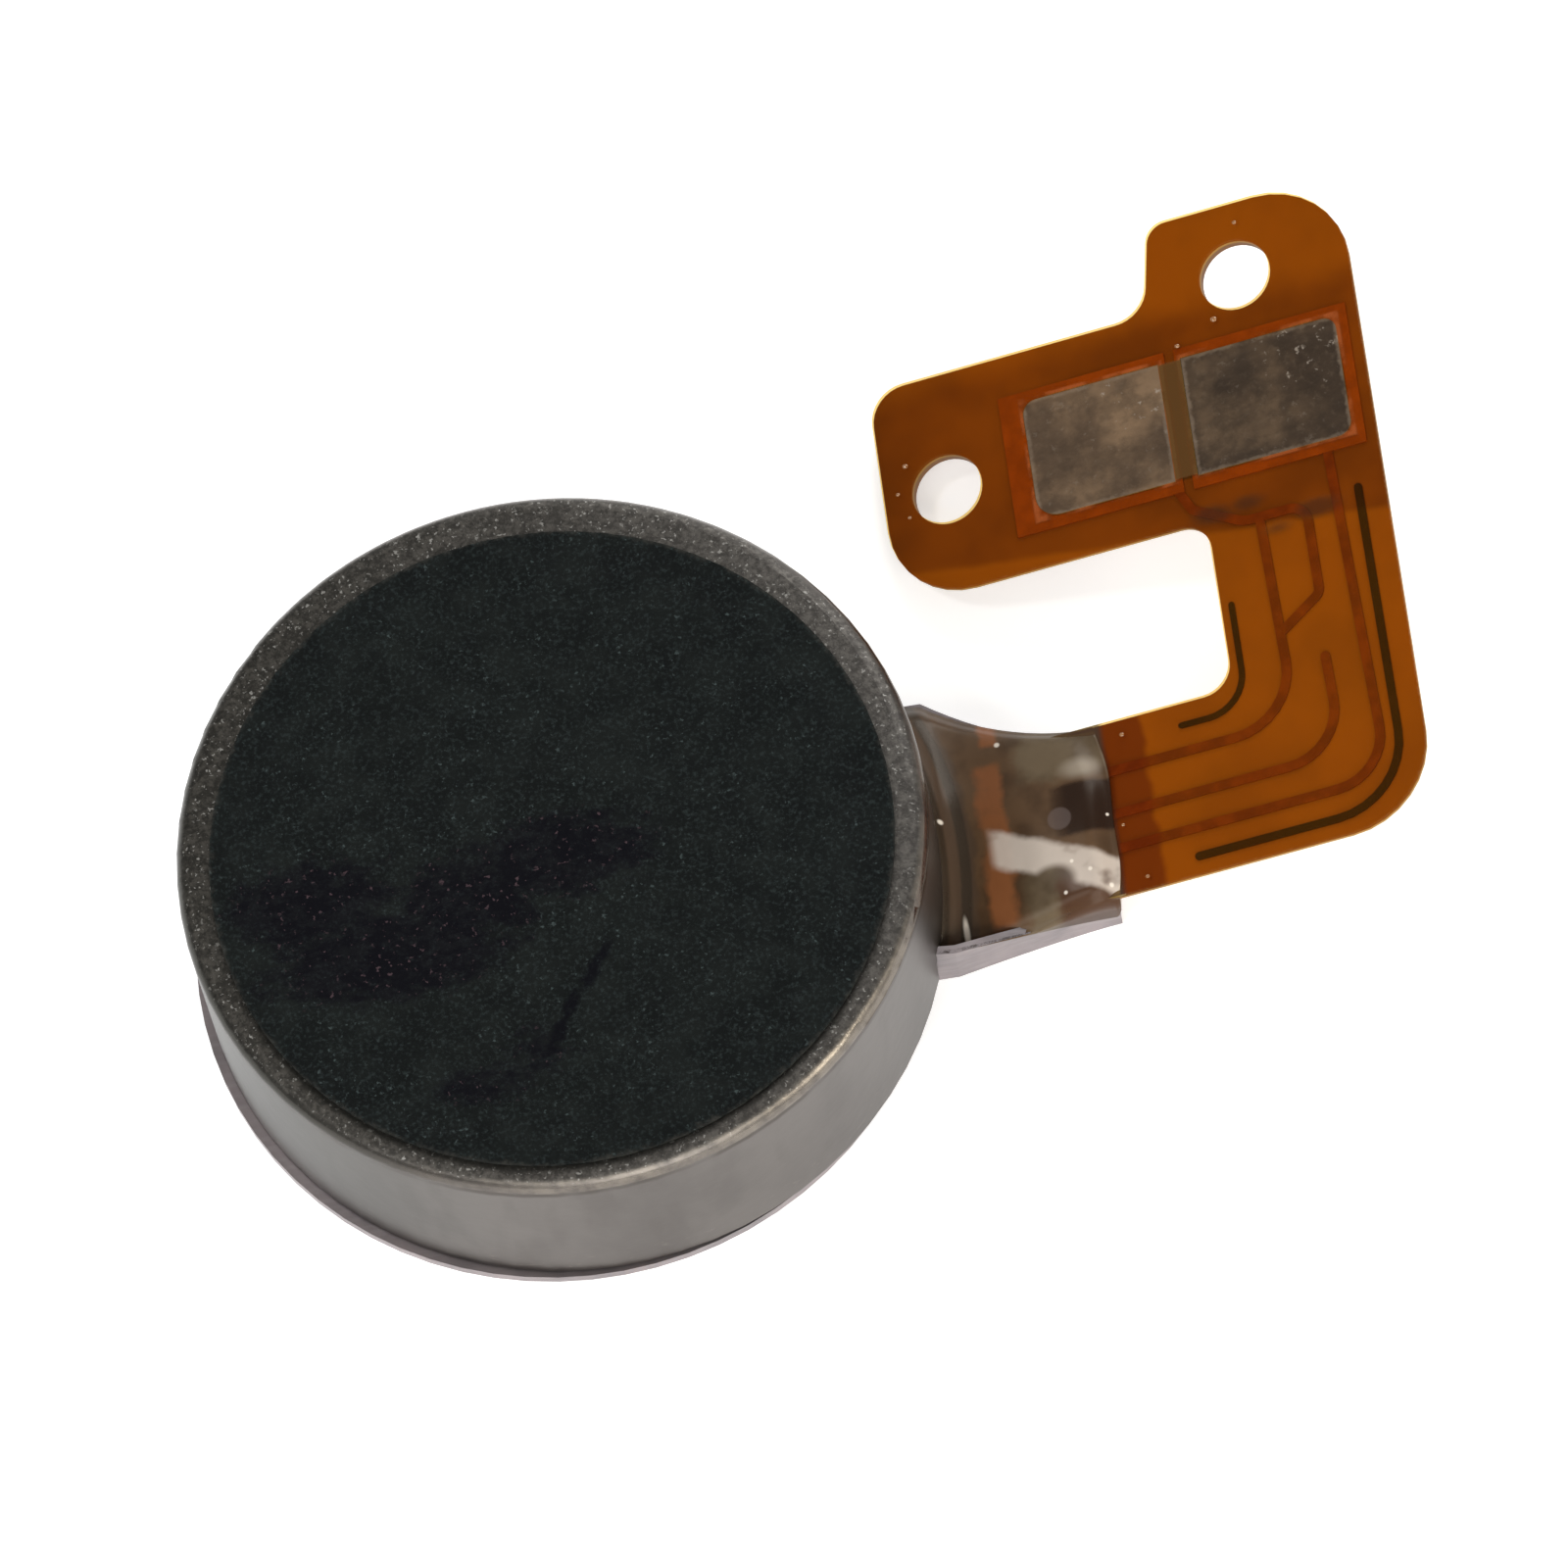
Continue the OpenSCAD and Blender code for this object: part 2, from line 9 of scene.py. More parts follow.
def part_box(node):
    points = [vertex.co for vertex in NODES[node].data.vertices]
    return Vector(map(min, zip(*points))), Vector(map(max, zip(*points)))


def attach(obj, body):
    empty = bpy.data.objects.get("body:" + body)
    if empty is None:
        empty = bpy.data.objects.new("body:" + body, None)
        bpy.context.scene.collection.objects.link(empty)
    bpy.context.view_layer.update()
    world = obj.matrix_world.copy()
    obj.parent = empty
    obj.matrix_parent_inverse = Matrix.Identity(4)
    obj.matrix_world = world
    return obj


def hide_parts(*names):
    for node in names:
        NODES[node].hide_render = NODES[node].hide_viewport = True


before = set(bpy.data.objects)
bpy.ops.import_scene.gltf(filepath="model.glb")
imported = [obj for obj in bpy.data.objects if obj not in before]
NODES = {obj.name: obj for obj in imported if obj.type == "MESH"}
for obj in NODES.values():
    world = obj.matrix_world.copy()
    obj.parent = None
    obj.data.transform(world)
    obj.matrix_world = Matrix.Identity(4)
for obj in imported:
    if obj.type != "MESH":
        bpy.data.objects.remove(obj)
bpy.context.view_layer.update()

# Vibration coin motor: materials, detailed resin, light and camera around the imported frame.
# Lengths in this script are in metres where they reach Blender; MM turns millimetres into metres.
MM = 0.001
SLOPE = math.radians(15.2)

COIN_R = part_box("case")[1].y / MM
CASE_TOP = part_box("case")[1].z / MM
DISC_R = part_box("adhesive_disc")[1].x / MM
DISC_Y = (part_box("adhesive_disc")[0].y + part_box("adhesive_disc")[1].y) / 2 / MM
TAB_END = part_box("base_plate")[1].x / MM
CREASE_X = COIN_R + 0.1
FLEX_TOP = 0.4


def climb(s, v, h=0.0):
    """Point in mm: s and v on the flat pattern of the climbing lead, h above its top face."""
    along = s - CREASE_X
    return Vector((
        CREASE_X + along * math.cos(SLOPE) - h * math.sin(SLOPE),
        v,
        FLEX_TOP + along * math.sin(SLOPE) + h * math.cos(SLOPE),
    ))


# ---- Camera and light ----


def add_camera():
    """Long lens, looking down at 66 degrees with the lead's neck rising to the right."""
    data = bpy.data.cameras.new("camera")
    data.sensor_width = 36
    data.lens = 18 / math.tan(math.radians(3))
    data.clip_start = 0.01
    data.clip_end = 5
    camera = bpy.data.objects.new("camera", data)
    turn, tilt, roll = math.radians(4.92), math.radians(24.19), math.radians(-13.44)
    camera.matrix_world = (
        Matrix.Translation((0.01009, -0.08034, 0.18313))
        @ Matrix.Rotation(turn, 4, "Z")
        @ Matrix.Rotation(tilt, 4, "X")
        @ Matrix.Rotation(roll, 4, "Z")
    )
    bpy.context.scene.collection.objects.link(camera)
    bpy.context.scene.camera = camera


def add_area_light(name, place, power, size, tint=(1, 1, 1)):
    """Square softbox at a place in metres, aimed at the object's middle."""
    data = bpy.data.lights.new(name, "AREA")
    data.energy = power
    data.size = size
    data.color = tint
    light = bpy.data.objects.new(name, data)
    light.location = place
    aim = Vector((0.003, 0.001, 0.001)) - Vector(place)
    light.rotation_euler = aim.to_track_quat("-Z", "Y").to_euler()
    bpy.context.scene.collection.objects.link(light)


def add_light():
    scene = bpy.context.scene
    scene.view_settings.view_transform = "Standard"
    world = bpy.data.worlds.new("studio")
    scene.world = world
    world.use_nodes = True
    background = world.node_tree.nodes["Background"]
    background.inputs["Color"].default_value = (1.0, 0.99, 0.97, 1)
    background.inputs["Strength"].default_value = 0.42
    add_area_light("key_left", (-0.11, -0.12, 0.15), 0.13, 0.12)
    add_area_light("fill_front", (0.03, -0.19, 0.09), 0.22, 0.14)
    add_area_light("edge_right", (0.14, -0.10, 0.06), 0.12, 0.06, (1.0, 0.93, 0.80))
    add_area_light("back_soft", (0.06, 0.16, 0.10), 0.20, 0.12)
    add_area_light("glare_top", (-0.10, 0.03, 0.165), 0.05, 0.025)


def add_floor():
    """Plain pale floor just under the base."""
    mesh = bpy.data.meshes.new("floor")
    half = 0.6
    corners = [(-half, -half, 0), (half, -half, 0), (half, half, 0), (-half, half, 0)]
    mesh.from_pydata(corners, [], [(0, 1, 2, 3)])
    floor = bpy.data.objects.new("floor", mesh)
    floor.location.z = -0.02 * MM
    bpy.context.scene.collection.objects.link(floor)
    shader = Shader("floor_white", (0.9, 0.9, 0.9), roughness=0.7)
    shader.bsdf.inputs["Specular IOR Level"].default_value = 0.1
    shader.bsdf.inputs["Emission Color"].default_value = (1, 1, 1, 1)
    shader.bsdf.inputs["Emission Strength"].default_value = 0.45
    mesh.materials.append(shader.material)


# ---- Material toolkit: every pattern is laid out in the shared frame, in millimetres ----


class Shader:
    """One node material with a Principled shader and patterns in millimetres."""

    def __init__(self, name, color=None, roughness=0.5, metallic=0.0):
        self.material = bpy.data.materials.new(name)
        self.material.use_nodes = True
        self.nodes = self.material.node_tree.nodes
        self.links = self.material.node_tree.links
        self.bsdf = self.nodes["Principled BSDF"]
        self.bsdf.inputs["Roughness"].default_value = roughness
        self.bsdf.inputs["Metallic"].default_value = metallic
        if color is not None:
            self.bsdf.inputs["Base Color"].default_value = (*color, 1)
        coordinates = self.nodes.new("ShaderNodeTexCoord").outputs["Object"]
        scale = self.nodes.new("ShaderNodeVectorMath")
        scale.operation = "SCALE"
        scale.inputs["Scale"].default_value = 1 / MM
        self.links.new(coordinates, scale.inputs[0])
        self.place = scale.outputs[0]
        split = self.nodes.new("ShaderNodeSeparateXYZ")
        self.links.new(self.place, split.inputs[0])
        self.x, self.y, self.z = split.outputs

    def put(self, socket, value):
        """Sets a socket to a number or colour, or links another socket to it."""
        if isinstance(value, bpy.types.NodeSocket):
            self.links.new(value, socket)
        elif isinstance(value, tuple) and len(value) == 3 and socket.type == "RGBA":
            socket.default_value = (*value, 1)
        else:
            socket.default_value = value

    def math(self, operation, a, b=0.0, clamp=False):
        node = self.nodes.new("ShaderNodeMath")
        node.operation = operation
        node.use_clamp = clamp
        self.put(node.inputs[0], a)
        self.put(node.inputs[1], b)
        return node.outputs[0]

    def ramp(self, value, low, high):
        """0 below low and 1 above high, smooth between; low may be the larger one."""
        node = self.nodes.new("ShaderNodeMapRange")
        node.interpolation_type = "SMOOTHSTEP"
        flipped = low > high
        self.put(node.inputs["Value"], value)
        node.inputs["From Min"].default_value = min(low, high)
        node.inputs["From Max"].default_value = max(low, high)
        node.inputs["To Min"].default_value = 1.0 if flipped else 0.0
        node.inputs["To Max"].default_value = 0.0 if flipped else 1.0
        return node.outputs["Result"]

    def both(self, *masks):
        result = masks[0]
        for mask in masks[1:]:
            result = self.math("MULTIPLY", result, mask)
        return result

    def either(self, masks):
        """The larger of several masks."""
        result = masks[0]
        for mask in masks[1:]:
            result = self.math("MAXIMUM", result, mask)
        return result

    def mix(self, amount, a, b):
        node = self.nodes.new("ShaderNodeMix")
        node.data_type = "RGBA"
        self.put(node.inputs[0], amount)
        self.put(node.inputs[6], a)
        self.put(node.inputs[7], b)
        return node.outputs[2]

    def stretched(self, stretch, shift=(0, 0, 0)):
        node = self.nodes.new("ShaderNodeMapping")
        node.inputs["Scale"].default_value = stretch
        node.inputs["Location"].default_value = shift
        self.links.new(self.place, node.inputs["Vector"])
        return node.outputs[0]

    def noise(self, size, detail=3.0, rough=0.55, stretch=(1, 1, 1), shift=(0, 0, 0)):
        """Cloudy pattern from 0 to 1 whose features are about size mm across."""
        node = self.nodes.new("ShaderNodeTexNoise")
        node.inputs["Scale"].default_value = 1 / size
        node.inputs["Detail"].default_value = detail
        node.inputs["Roughness"].default_value = rough
        self.links.new(self.stretched(stretch, shift), node.inputs["Vector"])
        return node.outputs["Fac"]

    def radius_from(self, x, y, squash=(1.0, 1.0)):
        """Distance in mm from a vertical line through (x, y)."""
        dx = self.math("MULTIPLY", self.math("SUBTRACT", self.x, x), squash[0])
        dy = self.math("MULTIPLY", self.math("SUBTRACT", self.y, y), squash[1])
        squares = self.math("ADD", self.math("MULTIPLY", dx, dx), self.math("MULTIPLY", dy, dy))
        return self.math("SQRT", squares)

    def facing_up(self):
        """1 where the face looks up, 0 on the walls."""
        geometry = self.nodes.new("ShaderNodeNewGeometry")
        split = self.nodes.new("ShaderNodeSeparateXYZ")
        self.links.new(geometry.outputs["Normal"], split.inputs[0])
        return self.ramp(split.outputs[2], 0.3, 0.9)

    def bump(self, height, depth, strength=1.0, target=None):
        """Bump of the given depth in mm."""
        node = self.nodes.new("ShaderNodeBump")
        node.inputs["Strength"].default_value = strength
        node.inputs["Distance"].default_value = depth * MM
        self.links.new(height, node.inputs["Height"])
        self.links.new(node.outputs[0], (target or self.bsdf).inputs["Normal"])
        return node.outputs[0]

    def set(self, **values):
        for name, value in values.items():
            self.put(self.bsdf.inputs[name.replace("_", " ").title().replace("Ior", "IOR")], value)


# ---- Materials of the coin ----


def steel_case():
    """Drawn steel: grainy dull rim on top, satin wall with soft smudges, a dark brown band under the corner;
    painted light and shade: a lighter rim towards +x, darker wall sides, rim glints, shade by the disc and at
    the wall's foot, and a highlight on the lower-right corner.
    """
    s = Shader("steel_case", metallic=0.9)
    up = s.ramp(s.z, CASE_TOP - 0.10, CASE_TOP - 0.015)
    smudge = s.noise(1.3, 3, 0.55, (1, 1, 0.6))
    streak = s.noise(0.6, 3, 0.55, (1, 1, 0.3), (3, 1, 0))
    wall = s.mix(s.ramp(smudge, 0.38, 0.66), (0.132, 0.118, 0.108), (0.104, 0.092, 0.084))
    wall = s.mix(s.both(s.ramp(streak, 0.5, 0.7), 0.5), wall, (0.085, 0.073, 0.065))
    # painted shade: the wall is darkened towards -x and, less, towards +x
    shade = s.ramp(s.x, -0.8, -4.6)
    wall = s.mix(s.both(shade, 0.8), wall, (0.035, 0.037, 0.032))
    wall = s.mix(s.both(s.ramp(s.x, 1.6, 4.2), 0.5), wall, (0.072, 0.062, 0.056))
    scuff = s.both(s.ramp(s.noise(0.25, 5, 0.7, (1, 1, 2.2), (7, 2, 5)), 0.58, 0.7), s.ramp(s.z, 1.1, 0.4))
    wall = s.mix(s.both(scuff, 0.5), wall, (0.20, 0.176, 0.16))
    # painted shadow: the wall's foot, where it meets the base plate, is darkened on the -x side
    seam_shadow = s.both(s.ramp(s.z, 0.34, 0.24), s.ramp(s.x, 0.6, -2.2))
    wall = s.mix(s.both(seam_shadow, 0.85), wall, (0.02, 0.018, 0.014))
    grain = s.noise(0.09, 4, 0.7)
    # painted light: the rim's tones are lighter towards +x and -y
    across = s.math("SUBTRACT", s.math("MULTIPLY", s.x, 0.1), s.math("MULTIPLY", s.y, 0.03))
    lit = s.ramp(across, -0.8, 0.7)
    rim_dark = s.mix(lit, (0.020, 0.019, 0.016), (0.066, 0.061, 0.056))
    rim_pale = s.mix(lit, (0.054, 0.050, 0.043), (0.130, 0.121, 0.110))
    rim = s.mix(s.ramp(grain, 0.38, 0.66), rim_dark, rim_pale)
    # painted glints: small bright specks scattered over the rim
    glints = s.ramp(s.noise(0.055, 2, 0.6, shift=(8, 0, 0)), 0.60, 0.69)
    glints = s.both(glints, s.ramp(s.noise(0.6, 2, 0.5, shift=(6, 0, 0)), 0.30, 0.52))
    rim = s.mix(s.both(glints, 0.5), rim, (0.48, 0.47, 0.44))
    # painted shade: the rim beside the disc's lower edge is darkened
    disc_edge_shade = s.ramp(s.radius_from(0, DISC_Y), DISC_R + 0.13, DISC_R + 0.02)
    rim = s.mix(s.both(disc_edge_shade, s.ramp(s.y, -0.5, -3.2), 0.75), rim, (0.010, 0.010, 0.008))
    color = s.mix(up, wall, rim)
    # a dark brown band under the corner, broken by noise
    below = s.ramp(s.z, CASE_TOP - 0.36, CASE_TOP - 0.27)
    below = s.both(below, s.ramp(s.z, CASE_TOP - 0.17, CASE_TOP - 0.23))
    dark_band = s.both(below, s.ramp(s.noise(0.9, 2, 0.5, shift=(1, 8, 0)), 0.22, 0.5))
    color = s.mix(s.both(dark_band, 0.85), color, (0.035, 0.022, 0.014))
    corner = s.ramp(s.z, CASE_TOP - 0.24, CASE_TOP - 0.18)
    corner = s.both(corner, s.ramp(s.z, CASE_TOP - 0.015, CASE_TOP - 0.05))
    lower_right = s.math("SUBTRACT", s.math("MULTIPLY", s.x, 0.6), s.math("MULTIPLY", s.y, 0.8))
    # painted highlight: a pale warm band on the corner's lower-right side, broken by noise
    corner_highlight = s.ramp(s.noise(0.35, 3, 0.6, shift=(2, 2, 0)), 0.3, 0.65)
    corner_highlight = s.both(corner, corner_highlight, s.ramp(lower_right, 1.4, 4.2))
    color = s.mix(s.both(corner_highlight, 0.4), color, (0.34, 0.30, 0.25))
    s.set(base_color=color)
    s.set(roughness=s.math("SUBTRACT", s.math("ADD", 0.36, s.both(up, 0.16)), s.both(corner, 0.1)))
    fine = s.math("ADD", s.both(grain, up), s.both(s.noise(0.3, 3, 0.5), 0.35))
    s.bump(fine, 0.016, 0.6)
    return s.material


def ink_zone(s):
    """Mask of the ragged smears on the disc, and of the denser patches inside them."""
    torn = s.noise(0.32, 5, 0.72, (0.8, 1.3, 1), (5, 3, 0))
    spots = []
    for x, y, reach, squash in (
        (-3.3, -0.45, 0.95, (0.8, 1.5)), (-2.3, -1.35, 1.1, (0.65, 1.6)), (-1.2, -0.75, 0.85, (0.8, 1.3)),
        (0.1, -0.3, 1.0, (0.75, 1.6)), (-1.3, -3.4, 0.55, (0.8, 2.0)), (-0.5, -3.0, 0.35, (0.9, 1.4)),
    ):
        ragged = s.math("ADD", s.radius_from(x, y, squash), s.math("MULTIPLY", torn, 1.7))
        spots.append(s.ramp(ragged, reach + 1.0, reach + 0.45))
    zone = s.either(spots)
    patches = s.ramp(s.noise(0.3, 4, 0.7, (0.8, 1.2, 1), (1, 9, 0)), 0.4, 0.56)
    return zone, s.both(zone, patches)


def tape_disc():
    """Charcoal adhesive disc with fine pale grain, purple-black ink smears and one scratch."""
    s = Shader("tape_disc", roughness=0.85)
    cloud = s.noise(0.5, 4, 0.6)
    grain = s.noise(0.055, 3, 0.7)
    color = s.mix(s.ramp(cloud, 0.35, 0.7), (0.0048, 0.0060, 0.0060), (0.0085, 0.0105, 0.0100))
    color = s.mix(s.both(s.ramp(grain, 0.47, 0.72), 0.8), color, (0.020, 0.0265, 0.0265))
    pale = s.ramp(s.noise(0.075, 3, 0.6, shift=(0, 7, 0)), 0.6, 0.7)
    pale = s.both(pale, s.ramp(s.noise(0.5, 2, 0.5, shift=(0, 7, 0)), 0.38, 0.62))
    color = s.mix(s.both(pale, 0.65), color, (0.06, 0.08, 0.08))
    zone, patches = ink_zone(s)
    color = s.mix(s.both(zone, 0.6), color, (0.0040, 0.0034, 0.0060))
    color = s.mix(s.both(patches, 0.7), color, (0.0016, 0.0014, 0.0034))
    flecks = s.both(s.ramp(s.noise(0.09, 2, 0.6, shift=(2, 2, 0)), 0.61, 0.69), patches)
    color = s.mix(s.both(flecks, 0.75), color, (0.075, 0.048, 0.056))
    along = s.math("ADD", s.math("MULTIPLY", s.x, -0.83), s.math("MULTIPLY", s.y, 0.56))
    wander = s.math("MULTIPLY", s.math("SUBTRACT", s.noise(0.5, 3, 0.6, shift=(9, 0, 0)), 0.5), 0.4)
    off_line = s.math("ABSOLUTE", s.math("ADD", s.math("ADD", along, 1.38), wander))
    broken = s.ramp(s.noise(0.25, 3, 0.6, shift=(3, 0, 0)), 0.35, 0.5)
    ends = s.both(s.ramp(s.radius_from(0.1, -2.35), 1.0, 0.7), broken)
    scratch = s.both(s.ramp(off_line, 0.12, 0.03), ends)
    color = s.mix(s.both(scratch, 0.85), color, (0.0018, 0.0017, 0.0036))
    feather = s.math("ADD", s.radius_from(0, DISC_Y), s.math("MULTIPLY", s.noise(0.14, 4, 0.7), 0.3))
    rim_wear = s.ramp(feather, DISC_R + 0.08, DISC_R + 0.21)
    color = s.mix(s.both(rim_wear, 0.6), color, (0.045, 0.043, 0.038))
    s.set(base_color=color)
    s.bsdf.inputs["Specular IOR Level"].default_value = 0.07
    s.bump(s.math("ADD", s.both(grain, 0.6), cloud), 0.012, 0.6)
    return s.material


def steel_base():
    """Satin steel of the base plate and its tab, with a lilac cast and fine rolling lines."""
    s = Shader("steel_base", roughness=0.36, metallic=0.85)
    lines = s.noise(0.08, 4, 0.6, (0.06, 1, 1))
    cloud = s.noise(0.9, 3, 0.6)
    color = s.mix(s.ramp(cloud, 0.35, 0.7), (0.33, 0.285, 0.29), (0.24, 0.215, 0.222))
    color = s.mix(s.both(s.ramp(lines, 0.45, 0.7), 0.35), color, (0.42, 0.38, 0.385))
    s.set(base_color=color)
    s.bump(lines, 0.006, 0.5)
    return s.material


# ---- Materials of the lead ----


def on_neck(s):
    """1 on the neck, 0 on the arm and the head."""
    return s.ramp(s.y, 2.6, 2.4)


def lead_zones(s):
    """Masks along the lead: the stiffened head, and the resin-soaked start of the neck."""
    slant = s.math("ADD", s.y, s.math("MULTIPLY", s.x, 0.14))
    wander = s.math("MULTIPLY", s.noise(0.8, 2, 0.5), 0.12)
    head = s.ramp(s.math("ADD", slant, wander), 4.93, 5.06)
    ear = s.ramp(s.math("ADD", s.y, s.math("MULTIPLY", wander, 3)), 6.75, 7.35)
    head = s.both(head, s.math("SUBTRACT", 1.0, s.both(ear, 0.85)))
    beyond = s.math("ADD", s.x, s.math("MULTIPLY", s.noise(0.5, 2, 0.5, shift=(0, 3, 0)), 0.25))
    soaked = s.both(s.ramp(beyond, 8.1, 7.98), on_neck(s))
    return head, soaked


def pad_bar(s):
    """Mask of the strip of film that divides the two pads."""
    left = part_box("pad_plating_left")[1].x / MM
    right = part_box("pad_plating_right")[0].x / MM
    low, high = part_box("pad_plating_left")[0].y / MM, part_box("pad_plating_left")[1].y / MM
    return s.both(
        s.ramp(s.x, left - 0.03, left + 0.01), s.ramp(s.x, right + 0.03, right - 0.01),
        s.ramp(s.y, low, low + 0.04), s.ramp(s.y, high, high - 0.04),
    )


def window_rim(s):
    """Mask of a thin line on the film round each pad's window."""
    lines = []
    for node in ("pad_plating_left", "pad_plating_right"):
        low, high = (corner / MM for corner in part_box(node))
        off = [
            s.math("SUBTRACT", s.math("ABSOLUTE", s.math("SUBTRACT", place, (a + b) / 2)), (b - a) / 2)
            for place, a, b in ((s.x, low.x, high.x), (s.y, low.y, high.y))
        ]
        away = s.math("MAXIMUM", *off)
        lines.append(s.both(s.ramp(away, 0.07, 0.03), s.ramp(away, -0.1, 0.0)))
    return s.both(s.either(lines), s.ramp(s.noise(0.5, 3, 0.6, shift=(4, 0, 0)), 0.35, 0.6))


def joint_shadows(s, cloud):
    """Mask of painted shade: dark spots where the tracks pass under the head's lower edge."""
    spots = []
    for x, y, reach in ((9.28, 3.86, 0.27), (9.78, 3.9, 0.24), (10.12, 3.42, 0.19), (10.68, 3.56, 0.28)):
        ragged = s.math("ADD", s.radius_from(x, y, (0.7, 1.5)), s.math("MULTIPLY", cloud, 0.2))
        spots.append(s.ramp(ragged, reach + 0.12, reach - 0.1))
    return s.either(spots)


def film_base():
    """Amber polyimide under the tracks, darker where the stiffener backs it."""
    s = Shader("film_base", roughness=0.5)
    head, soaked = lead_zones(s)
    cloud = s.noise(1.4, 3, 0.5)
    gold = s.mix(s.ramp(cloud, 0.35, 0.7), (0.31, 0.112, 0.005), (0.25, 0.088, 0.004))
    brown = s.mix(s.ramp(cloud, 0.35, 0.65), (0.21, 0.068, 0.005), (0.14, 0.042, 0.004))
    color = s.mix(head, gold, brown)
    color = s.mix(soaked, color, (0.17, 0.045, 0.006))
    color = s.mix(pad_bar(s), color, (0.11, 0.055, 0.012))
    # painted highlight: the film's side faces are painted paler
    edge = s.math("SUBTRACT", 1.0, s.facing_up())
    color = s.mix(s.both(edge, 0.5), color, (0.30, 0.20, 0.035))
    s.set(base_color=color)
    s.bsdf.inputs["Specular IOR Level"].default_value = 0.2
    s.bump(s.noise(0.25, 3, 0.5), 0.006, 0.4)
    return s.material


def film_cover():
    """Clear amber cover film: the tracks show through its top face, and it shines a little."""
    s = Shader("film_cover", roughness=0.35)
    head, soaked = lead_zones(s)
    cloud = s.noise(1.1, 4, 0.5)
    gold = s.mix(s.ramp(cloud, 0.35, 0.68), (0.25, 0.086, 0.002), (0.215, 0.068, 0.002))
    brown = s.mix(s.ramp(cloud, 0.35, 0.68), (0.160, 0.044, 0.002), (0.118, 0.031, 0.001))
    color = s.mix(head, gold, brown)
    color = s.mix(soaked, color, (0.15, 0.028, 0.002))
    bar = pad_bar(s)
    color = s.mix(bar, color, (0.10, 0.042, 0.006))
    # painted shade where the tracks pass under the head's lower edge
    joint_shade = joint_shadows(s, cloud)
    color = s.mix(s.both(joint_shade, 0.8), color, (0.040, 0.012, 0.001))
    rim = window_rim(s)
    color = s.mix(s.both(rim, s.math("SUBTRACT", 1.0, bar)), color, (0.42, 0.10, 0.02))
    buried = s.both(s.ramp(s.x, 7.42, 7.3), on_neck(s))
    color = s.mix(buried, color, (0.06, 0.03, 0.014))
    # painted highlight: the cover film's side faces are painted paler
    edge = s.math("SUBTRACT", 1.0, s.facing_up())
    color = s.mix(s.both(edge, 0.6), color, (0.26, 0.17, 0.03))
    s.set(base_color=color)
    s.bsdf.inputs["Specular IOR Level"].default_value = 0.18
    s.bump(s.math("ADD", cloud, s.both(s.noise(0.08, 2, 0.5), 0.12)), 0.010, 0.4)
    clear = s.nodes.new("ShaderNodeBsdfTransparent")
    clear.inputs["Color"].default_value = (0.93, 0.68, 0.24, 1)
    blend = s.nodes.new("ShaderNodeMixShader")
    solid = s.math("ADD", s.math("ADD", 0.13, s.both(buried, 0.68)), s.both(bar, 0.65))
    solid = s.math("ADD", solid, s.both(joint_shade, 0.35))
    s.put(blend.inputs[0], s.math("ADD", solid, s.both(rim, 0.4), clamp=True))
    s.links.new(clear.outputs[0], blend.inputs[1])
    s.links.new(s.bsdf.outputs[0], blend.inputs[2])
    inner = s.nodes.new("ShaderNodeBsdfTransparent")
    sides = s.nodes.new("ShaderNodeMixShader")
    s.links.new(s.nodes.new("ShaderNodeNewGeometry").outputs["Backfacing"], sides.inputs[0])
    s.links.new(blend.outputs[0], sides.inputs[1])
    s.links.new(inner.outputs[0], sides.inputs[2])
    s.links.new(sides.outputs[0], s.nodes["Material Output"].inputs["Surface"])
    return s.material


def part_faces(name):
    """Draws a film in by a few microns, so that its faces do not coincide with its neighbours'."""
    gap = NODES[name].modifiers.new("part_faces", "DISPLACE")
    gap.strength = -0.003 * MM
    gap.mid_level = 0


def copper_track(name, dark, light):
    """Etched copper seen through the film, with uneven oxide along it."""
    s = Shader(name, roughness=0.5, metallic=0.3)
    s.bsdf.inputs["Specular IOR Level"].default_value = 0.12
    oxide = s.noise(0.35, 4, 0.6)
    s.set(base_color=s.mix(s.ramp(oxide, 0.35, 0.68), dark, light))
    s.bump(s.noise(0.05, 2, 0.5), 0.004, 0.5)
    return s.material


